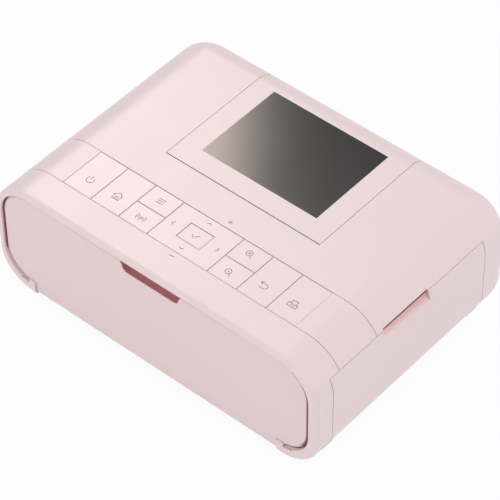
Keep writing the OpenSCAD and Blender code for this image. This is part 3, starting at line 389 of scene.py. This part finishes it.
# The card slot's ends in y. The scoop is longer than the slot at both of them.
SLOT_FRONT, SLOT_REAR = -20.85, 8.75
SCOOP_BACK, SCOOP_SKIN, SCOOP_LONGER, SCOOP_HIGH, SCOOP_OVER = 6, 1.0, 1.4, 7, 1.2
scoop = ((DOOR_SIDE - SCOOP_BACK, SLOT_FRONT - SCOOP_LONGER, DOOR_TOP - SCOOP_HIGH),
         (DOOR_SIDE - SCOOP_SKIN, SLOT_REAR + SCOOP_LONGER, DOOR_TOP + SCOOP_OVER))
print("cover up to", round(COVER_TOP, 2), "mm, door up to", round(DOOR_TOP, 2), "mm")

# %% Make the finishes
finish = {
    "case_pink": moulded("case_pink", (239, 221, 223), (236, 217, 219), mirror=0.28),
    # The door's finish paints shade into the scoop under the card slot.
    "door_pink_scoop_shade": moulded("door_pink_scoop_shade", (239, 221, 223), (236, 217, 219), mirror=0.28,
                         pocket=scoop, shade_tone=(236, 186, 190), soft=1.5),
    # The cover's finish paints shade into the finger notch.
    "cover_pink": moulded("cover_pink", (238, 217, 219), (235, 213, 215), mirror=0.28,
                          pocket=notch, shade_tone=(202, 134, 138)),
    "key_pink": moulded("key_pink", (239, 222, 224), (237, 218, 220), roughness=0.34,
                        mirror=0.28),
    # Painted shade: the dark tone of the gap round the cover and of the bevel's deep faces.
    "painted_gap_shade": moulded("painted_gap_shade", (164, 102, 107), (152, 94, 99), roughness=0.7),
    # Painted shade: the near-black of the card slot's mouth.
    "painted_slot_shade": moulded("painted_slot_shade", (40, 12, 16), (30, 8, 12), roughness=0.7),
    "foot_grey": moulded("foot_grey", (206, 190, 193), (196, 180, 183), roughness=0.7,
                         strength=0.35),
    "frame_grey": moulded("frame_grey", (196, 194, 196), (184, 182, 185), roughness=0.5),
    "gear_white": moulded("gear_white", (228, 226, 220), (216, 214, 206), roughness=0.42),
    "bush": moulded("bush", (208, 198, 170), (196, 184, 154), roughness=0.5),
    "roller_rubber": moulded("roller_rubber", (46, 46, 48), (36, 36, 38), roughness=0.78,
                             grain=1800.0, strength=0.4),
    "head": moulded("head", (92, 84, 80), (74, 68, 66), roughness=0.3),
    "heat_sink": rolled("heat_sink", (190, 192, 196), (168, 170, 175), roughness=0.42),
    "steel": rolled("steel", (196, 198, 202), (176, 178, 184)),
    "zinc_screw": rolled("zinc_screw", (188, 190, 194), (150, 152, 156), roughness=0.36,
                         stretch=(1500.0, 1500.0, 400.0)),
    "socket_metal": rolled("socket_metal", (204, 206, 208), (184, 186, 190), roughness=0.28),
    "brass": rolled("brass", (214, 182, 112), (190, 156, 92), roughness=0.3),
    "board_green": moulded("board_green", (28, 92, 58), (20, 76, 48), roughness=0.35,
                           drift=600.0, coat=0.4),
    "black_plastic": moulded("black_plastic", (34, 34, 36), (26, 26, 28), roughness=0.5,
                             strength=0.3),
    "dome_rubber": moulded("dome_rubber", (218, 216, 212), (206, 204, 198), roughness=0.65),
    "cassette_grey": moulded("cassette_grey", (188, 188, 190), (174, 174, 177), roughness=0.45),
    "ink_film": moulded("ink_film", (70, 54, 78), (52, 40, 60), roughness=0.22, grain=900.0),
    "display": moulded("display", (40, 42, 46), (30, 32, 36), roughness=0.3),
    "window_black": moulded("window_black", (20, 19, 19), (16, 15, 15), roughness=0.16,
                            spread=0.04, grain=5000.0, strength=0.03, mirror=0.4),
    "sign_ink": moulded("sign_ink", (150, 118, 122), (142, 110, 114), roughness=0.5),
}
print(len(finish), "finishes")

# %% [markdown]
# The frame's pieces come with plain colours. A list per finish of the pieces that have it is
# shorter than a line per piece, and shows at a glance which pieces share one.

# %% Give each CAD node its finish
FINISH_OF = {
    "cover_pink": ["front_cover"],
    "key_pink": ["power_key", "home_key", "menu_key", "wireless_key", "direction_pad", "ok_key",
                 "zoom_in_key", "zoom_out_key", "back_key", "print_key"],
    "case_pink": ["front_frame", "control_strip", "top_cover", "left_side_panel", "bottom_cover",
                  "rear_panel", "lcd_bezel", "lcd_back_cover"],
    "door_pink_scoop_shade": ["ink_door"],
    "foot_grey": ["foot_pads"],
    "window_black": ["lcd_window"],
    "display": ["lcd_module"],
    "steel": ["ink_door_rod", "lcd_hinge_pins", "left_side_plate", "right_side_plate",
              "engine_top_plate", "platen_shaft", "feed_roller", "drive_motor", "idler_studs"],
    "zinc_screw": ["case_screws"],
    "frame_grey": ["pad_gimbal", "paper_bay", "exit_guide"],
    "gear_white": ["platen_gear", "idler_gear", "feed_gear", "pickup_idler", "pickup_gear",
                   "take_up_gear"],
    "bush": ["roller_bushes"],
    "roller_rubber": ["platen_roller", "pinch_roller", "pickup_roller"],
    "head": ["thermal_head"],
    "heat_sink": ["head_heat_sink"],
    "board_green": ["key_board", "main_board", "port_board"],
    "socket_metal": ["card_socket", "usb_sockets"],
    "black_plastic": ["dc_inlet"],
    "dome_rubber": ["dome_sheet"],
    "cassette_grey": ["ink_cassette_case"],
    "ink_film": ["ink_ribbon", "supply_spool", "take_up_spool"],
    "brass": ["motor_pinion"],
}
for kind, members in FINISH_OF.items():
    for node in members:
        for holder in nodes[node].material_slots:
            holder.material = finish[kind]
dressed = {node for members in FINISH_OF.values() for node in members}
print("nodes without a finish:", sorted(set(nodes) - dressed))

# %% [markdown]
# ## The printed signs
# The keys carry thin printed pictograms. They could be a picture on the keys, but a printed line
# is a flat bar along a path, so each sign is a few paths in the key's own plane and stays sharp
# from close by. They stand two hundredths of a millimetre proud, which is what a printed ink
# film does, and each rides on its own key.

# %% Draw the signs
# The printed line's width, how far it stands proud and how far it reaches down into the key.
LINE, PROUD, SUNK = 0.36, 0.02, 0.05
pad_low, pad_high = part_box("direction_pad")
KEYS_Y = (pad_low.y + pad_high.y) / 2 / MM


def sign(name, body, centre, paths, width=LINE):
    """A sign from paths round its own centre, which is given from the middle of the key
    strip; a path that ends on its start is closed."""
    bars = []
    for path in paths:
        path = np.asarray(path, float)
        closed = np.allclose(path[0], path[-1])
        path = (path[:-1] if closed else path) + centre + (0, KEYS_Y)
        bars.append(stroke(path, width, TOP - SUNK, TOP + PROUD, closed))
    put_mesh(name, join(bars), body, finish["sign_ink"])


lens = [arc((-0.35, 0.45), 1.45, 0, 360), [(0.75, -0.65), (1.9, -1.9)]]
lens_bar = [(-0.95, 0.45), (0.25, 0.45)]
sign("power_sign", body_of["power_key"], (-56.6, -3.6),
     [arc((0, 0), 1.8, 125, 415), [(0, 0.4), (0, 2.3)]])
sign("home_sign", body_of["home_key"], (-40.9, -3.4),
     [[(-2.4, 0.1), (0, 2.3), (2.4, 0.1)],
      [(-1.75, 0.4), (-1.75, -2.0), (1.75, -2.0), (1.75, 0.4)],
      [(-0.6, -2.0), (-0.6, -0.4), (0.6, -0.4), (0.6, -2.0)]])
sign("menu_sign", body_of["menu_key"], (-24.8, 6.1),
     [[(-1.9, y), (1.9, y)] for y in (-1.2, 0, 1.2)])
sign("waves_sign", body_of["wireless_key"], (-24.8, -6.8),
     [arc((0, 0.3), r, a - 42, a + 42, 12) for r in (1.3, 2.3) for a in (0, 180)]
     + [arc((0, 0.3), 0.3, 0, 360, 12), [(0, 0), (0, -1.9)]])
sign("zoom_in_sign", body_of["zoom_in_key"], (24.3, 6.7),
     lens + [lens_bar, [(-0.35, -0.15), (-0.35, 1.05)]])
sign("zoom_out_sign", body_of["zoom_out_key"], (24.3, -6.8), lens + [lens_bar])
sign("back_sign", body_of["back_key"], (40.4, -3.1),
     [[(-0.9, 2.1), (-2.0, 1.1), (-0.9, 0.1)],
      np.vstack([[(-2.0, 1.1)], arc((0.7, -0.25), 1.35, 90, -90, 12), [(-1.4, -1.6)]])])
sign("print_sign", body_of["print_key"], (56.4, -3.3),
     [[(-2.3, -1.7), (2.3, -1.7), (2.3, 0.1), (-2.3, 0.1), (-2.3, -1.7)],
      [(-1.3, 0.1), (-1.3, 2.0), (1.3, 2.0), (1.3, 0.1)], [(-1.3, -0.8), (1.3, -0.8)]])
sign("tick_sign", body_of["ok_key"], (0, 0), [[(-1.6, 0.1), (-0.5, -1.1), (1.7, 1.3)]])
chevron = np.array([(-1.1, -0.4), (0, 0.7), (1.1, -0.4)])
turned = {"rear": ((0, 9.1), chevron), "front": ((0, -8.9), -chevron),
          "left": ((-12.2, 0), chevron[:, ::-1] * [-1, 1]),
          "right": ((12.2, 0), chevron[:, ::-1])}
for side, (centre, path) in turned.items():
    sign("chevron_" + side, body_of["direction_pad"], centre, [path])
sign("plus_sign", "root", (6.0, 15.7), [[(-1.0, 0), (1.0, 0)], [(0, -1.0), (0, 1.0)]])
sign("minus_sign", "root", (0, -14.9), [[(-1.1, 0), (1.1, 0)]], width=0.5)
print("signs drawn")

# %% [markdown]
# ## Small parts on the boards
# The port board carries a row of small soldered parts on its top, and the main board a row and
# one flat chip with its leads on the underside. Each small part is a short bar with a bright cap
# over each end. They could be rounded blocks, but at their size the same flat bar as for the
# signs makes them all.

# %% Solder the small parts
PORT_TOP, MAIN_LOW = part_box("port_board")[1].z / MM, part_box("main_board")[0].z / MM
# Where a cap begins and ends, in lengths from the part's middle, and how much larger it is.
CAP_FROM, CAP_TO = 0.3, 0.52
CAP_WIDER, CAP_HIGHER, CAP_LOWER = 1.06, 1.05, 0.02


def soldered(name, x, row, size, low):
    """Small parts at one x and a row of y: each is a bar along y, with a slightly larger cap
    over each end. Size is its width, length and height in millimetres."""
    width, length, height = size
    bars, caps = [], []
    for y in row:
        bars.append(stroke([(x, y - length / 2), (x, y + length / 2)], width, low, low + height))
        for end in (-1, 1):
            cap = [(x, y + end * length * share) for share in (CAP_FROM, CAP_TO)]
            caps.append(stroke(cap, width * CAP_WIDER, low - CAP_LOWER,
                               low + height * CAP_HIGHER))
    put_mesh(name, join(bars), "root", finish["bush"])
    put_mesh(name + "_caps", join(caps), "root", finish["socket_metal"])


PORT_PART, MAIN_PART = (0.9, 1.7, 0.8), (1.3, 2.2, 0.9)
soldered("port_parts", -74.0, np.arange(-44, -15, 3.4), PORT_PART, PORT_TOP)
soldered("main_parts", 81.0, np.arange(12, 42, 4.2), MAIN_PART, MAIN_LOW - MAIN_PART[2])
# The chip's low and high faces and the leads' height are counted down from the board.
CHIP_X, CHIP_FRONT, CHIP_REAR, CHIP_WIDE, CHIP_LOW, CHIP_HIGH = 73, 18, 28, 10, 1.1, 0.1
LEAD_OUT, LEAD_WIDE, LEAD_PITCH, LEAD_HIGH = 6.2, 0.4, 0.8, 0.3
chip = stroke([(CHIP_X, CHIP_FRONT), (CHIP_X, CHIP_REAR)], CHIP_WIDE, MAIN_LOW - CHIP_LOW,
              MAIN_LOW - CHIP_HIGH)
leads = [stroke([(CHIP_X - LEAD_OUT, y), (CHIP_X + LEAD_OUT, y)], LEAD_WIDE,
                MAIN_LOW - LEAD_HIGH, MAIN_LOW)
         for y in np.arange(CHIP_FRONT + 0.6, CHIP_REAR - 0.2, LEAD_PITCH)]
put_mesh("main_chip", chip, "root", finish["black_plastic"])
put_mesh("main_chip_leads", join(leads), "root", finish["socket_metal"])
print("small parts soldered, chip with", len(leads), "pairs of leads")

# %% [markdown]
# ## The front cover's rounded rim
# The moulded cover is rounded all along its outline, which makes the soft dark line beside the
# case's rim. The CAD cover has a sharp edge there. Its outline could be drawn again from nothing,
# but a copy of the CAD cover already has it: its loose triangles are merged, the flat face is
# made one polygon and that polygon's rim is bevelled. The deep faces of the bevel beside the
# case's side get a painted shade, as dark as the gap that they line.

# %% Round the cover's rim
RIM_ROUND, RIM_STEPS = 2.0, 6
# Half the notch's width and its height, half the tongue's width and the height of the ears
# beside it, and the part of the bevel that lies in the gap and gets the painted shade: past which
# x, and from where to where behind the face.
NOTCH_CLEAR, NOTCH_FOOT = 19.8, 8
EAR_END, EAR_TOP = 73.4, 16
DEEP_SIDE, DEEP_FROM, DEEP_TO = 77, 0.12, 2


def rounded_cover():
    """A copy of the front cover: of the edges in the plane of its face, those with a wall
    behind them and away from the notch and the tongue are bevelled."""
    mesh = nodes["front_cover"].data.copy()
    shape = bmesh.new()
    shape.from_mesh(mesh)
    bmesh.ops.remove_doubles(shape, verts=shape.verts, dist=0.002 * MM)
    bmesh.ops.dissolve_limit(shape, angle_limit=np.radians(0.4), verts=shape.verts,
                             edges=shape.edges)

    def on_rim(edge):
        if any(abs(v.co.y - COVER_FACE * MM) > 0.01 * MM for v in edge.verts):
            return False
        middle = (edge.verts[0].co + edge.verts[1].co) / 2
        by_notch = (abs(middle.x) < NOTCH_CLEAR * MM
                    and middle.z > COVER_TOP * MM - NOTCH_FOOT * MM)
        by_tongue = abs(middle.x) < EAR_END * MM and middle.z < EAR_TOP * MM
        return edge.calc_face_angle(0) > 1.0 and not by_notch and not by_tongue

    rim = [edge for edge in shape.edges if on_rim(edge)]
    bmesh.ops.bevel(shape, geom=rim, offset=RIM_ROUND * MM, segments=RIM_STEPS, profile=0.5,
                    affect="EDGES", clamp_overlap=False)
    bmesh.ops.dissolve_degenerate(shape, dist=0.001 * MM, edges=shape.edges)
    shape.to_mesh(mesh)
    shape.free()
    mesh.polygons.foreach_set("use_smooth", np.ones(len(mesh.polygons), bool))
    mesh.set_sharp_from_angle(angle=np.radians(30))
    x, y, z = np.array([polygon.center for polygon in mesh.polygons]).T / MM
    # The bevel's deep faces in the gap get the painted shade.
    gap_shade_faces = ((x > DEEP_SIDE) & (y > COVER_FACE + DEEP_FROM) & (y < COVER_FACE + DEEP_TO)
            & (z > EAR_TOP))
    mesh.materials.append(finish["painted_gap_shade"])
    mesh.polygons.foreach_set("material_index", np.where(gap_shade_faces, len(mesh.materials) - 1, 0))
    piece = bpy.data.objects.new("rounded_front_cover", mesh)
    bpy.context.scene.collection.objects.link(piece)
    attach(piece, body_of["front_cover"])
    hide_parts("front_cover")
    return piece, len(rim)


cover, rim_edges = rounded_cover()
print("rounded", rim_edges, "rim edges,", len(cover.data.polygons), "faces")

# %% [markdown]
# ## Gaps and the card slot
# Round the front cover the eye looks into a narrow gap, and under the side's upper edge into the
# mouth of the card slot. Shadow alone leaves both too pale, so both get painted shade. A lining
# of painted shade gives the gap the drawn dark line that the photograph shows: it is a flat bar
# along the cover's outline, stood upright by a quarter turn about the long axis. The slot gets a
# bar of painted shade for its mouth and, above it, a pink one for the case's lip.

# %% Line the gaps
def stand(shape):
    """A quarter turn about x: the height becomes minus y and the old y becomes the height."""
    points, faces = shape
    return points[:, [0, 2, 1]] * [1, -1, 1], faces


# The gap's middle past the cover's edge, the lining's width and how far behind the cover's face
# it reaches.
GAP, LINING, LINING_BACK = 0.17, 0.24, 1.7
CORNER_R, LINING_END = 16.13, -12
FOOT_HIGH, LOWER_RIM = 3.4, 5.6
gap_side, gap_top = COVER_SIDE + GAP, COVER_TOP + GAP
gap_low = FOOT_HIGH + LOWER_RIM + GAP
round_x = gap_side - CORNER_R
right_half = np.vstack([arc((round_x, gap_low + CORNER_R), CORNER_R, LINING_END, 0),
                        arc((round_x, gap_top - CORNER_R), CORNER_R, 0, 90)])
outline = np.vstack([right_half, right_half[::-1] * [-1, 1]])
# The gap's lining is a strip of painted shade.
gap_shade_strip = stroke(outline, LINING, -(COVER_FACE + LINING_BACK), -(COVER_FACE + FACE_SKIN))
put_mesh("gap_shade_lining", stand(gap_shade_strip), "root", finish["painted_gap_shade"])
# The case's surface beside the slot lies further in than the door's widest part, because its
# long corner has begun to turn in there.
LIP_SIDE, MOUTH_SIDE = 87.62, 87.5
LIP_TOP, LIP_LOW, MOUTH_LOW = 1.65, 0.75, -0.45
SLOT_BAR, SLOT_PLAY = 1.2, 0.05
# The mouth's bar is painted shade; the lip's bar is part of the case.
for name, ink, low, high, side in (("slot_lip", "case_pink", LIP_LOW, LIP_TOP, LIP_SIDE),
                                   ("slot_mouth_shade", "painted_slot_shade", MOUTH_LOW, LIP_LOW, MOUTH_SIDE)):
    middle = side - SLOT_BAR / 2
    bar = stroke([(middle, SLOT_FRONT + SLOT_PLAY), (middle, SLOT_REAR - SLOT_PLAY)], SLOT_BAR,
                 DOOR_TOP + low, DOOR_TOP + high)
    put_mesh(name, bar, "root", finish[ink])
print("gaps lined, outline of", len(outline), "points")

# %% [markdown]
# ## World and lamps
# The printer stands in even, soft light: its top, front and side are almost equally bright. One
# strong lamp would make one of them much brighter than the others, so a pale world gives most of
# the light and three large, weak lamps add to it: one overhead for the soft shadow, one for the
# front and one for the right side. What the camera and the mirrors see of the world is a
# backdrop of its own, so that the world's light can be set without it.

# %% Light the scene
def soft_lamp(name, place, size, power):
    """A square area lamp at a place, turned to face the printer's middle: its back points away
    from there, its side is level, and the third axis is their cross product."""
    lamp = bpy.data.lights.new(name, "AREA")
    lamp.size = size
    lamp.energy = power
    holder = bpy.data.objects.new(name, lamp)
    away = unit(np.array(place) - AIM)
    side = unit(np.cross([0.0, 0.0, 1.0], away))
    holder.matrix_world = axes_matrix(side, np.cross(away, side), away, place)
    bpy.context.scene.collection.objects.link(holder)
    return holder


def seen_directly(tree):
    """One where a ray comes from the camera, a mirror or a glass, and zero elsewhere: the
    largest of the three marks."""
    ray = add(tree, "LightPath").outputs
    largest = calculate(tree, "MAXIMUM", ray["Is Camera Ray"], ray["Is Glossy Ray"])
    return calculate(tree, "MAXIMUM", largest, ray["Is Transmission Ray"])


AMBIENT, AMBIENT_TINT = 0.62, (1.0, 0.985, 0.975, 1)
world = bpy.data.worlds.new("studio")
bpy.context.scene.world = world
world.use_nodes = True
tree = world.node_tree
tree.nodes.clear()
ambient = add(tree, "Background", {"Color": AMBIENT_TINT, "Strength": AMBIENT})
backdrop = add(tree, "Background", {"Strength": 1.0})
pick = add(tree, "MixShader", {0: seen_directly(tree), 1: ambient.outputs[0],
                               2: backdrop.outputs[0]})
add(tree, "OutputWorld", {"Surface": pick.outputs[0]})
soft_lamp("overhead", (-0.05, 0.4, 1.3), 1.1, 4.0)
soft_lamp("front_fill", (-0.3, -1.35, 0.3), 0.9, 4.2)
soft_lamp("side_fill", (1.2, 0.1, 0.7), 0.9, 3.0)
print("world and lamps set")

# %% [markdown]
# ## The bright card for the display
# The display's window is the one dark glossy face. On the photograph it runs from pale at its
# front left corner to black at its rear right one, because it mirrors the edge of something
# bright. The change could be painted on the glass, but it would then stay when the display
# tilts. A ray from the camera meets the glass and leaves with its height turned round, so a card
# goes where such rays arrive, with its edge across them. Only glossy rays see it.

# %% Hang the card
CARD_SIZE, CARD_POWER, CARD_EDGE, CARD_AWAY = 0.30, 4.4, 0.042, 1.0
CARD_TINT = (1.0, 0.85, 0.76)
glass_low, glass_high = (np.array(corner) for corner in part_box("lcd_window"))


def mirrored(point):
    """Where the camera's ray through a point of the level glass is after CARD_AWAY metres: the
    ray's direction with its height turned round, times the distance, from the point."""
    ray = (point - EYE) * [1, 1, -1]
    return point + unit(ray) * CARD_AWAY


bright = mirrored(np.array([glass_low[0], glass_low[1], glass_high[2]]))
dark = mirrored(glass_high)
across = unit(bright - dark)
card_at = (bright + dark) / 2 + across * (CARD_EDGE + CARD_SIZE / 2)
card = soft_lamp("card", card_at, CARD_SIZE, CARD_POWER)
away = unit(card_at - (glass_low + glass_high) / 2)
across = unit(across - away * (across @ away))
card.matrix_world = axes_matrix(across, np.cross(away, across), away, card_at)
card.visible_diffuse = False
card.data.color = CARD_TINT
print("card at", np.round(card_at, 3))

# %% [markdown]
# ## The floor
# The printer stands on white paper that runs out to almost pure white, with a soft shadow under
# it. A white floor alone comes out grey, so most of what the camera and the mirrors see of it is
# a glow of its own, and the small rest is lit and takes the shadow. Diffuse rays see the lit
# floor alone, so the glow sends no light up to the printer's sides.

# %% Lay the floor
FLOOR_HALF, FLOOR_GREY, GLOW_SHARE = 3, 0.9, 0.94
floor_mesh = bpy.data.meshes.new("floor")
floor_mesh.from_pydata([(x * FLOOR_HALF, y * FLOOR_HALF, 0)
                        for x, y in ((-1, -1), (1, -1), (1, 1), (-1, 1))], [], [(0, 1, 2, 3)])
floor = bpy.data.objects.new("floor", floor_mesh)
bpy.context.scene.collection.objects.link(floor)
floor_white, tree, shader = new_material("floor_white")
shader.inputs["Base Color"].default_value = (FLOOR_GREY, FLOOR_GREY, FLOOR_GREY, 1)
shader.inputs["Roughness"].default_value = 0.9
glow = add(tree, "Emission", {"Strength": 1.0})
share = calculate(tree, "MULTIPLY", seen_directly(tree), GLOW_SHARE)
mix = add(tree, "MixShader", {0: share, 1: shader.outputs[0], 2: glow.outputs[0]})
tree.links.new(mix.outputs[0], tree.nodes["Material Output"].inputs["Surface"])
floor_mesh.materials.append(floor_white)
bpy.context.scene.view_settings.view_transform = "Standard"
print("floor laid")
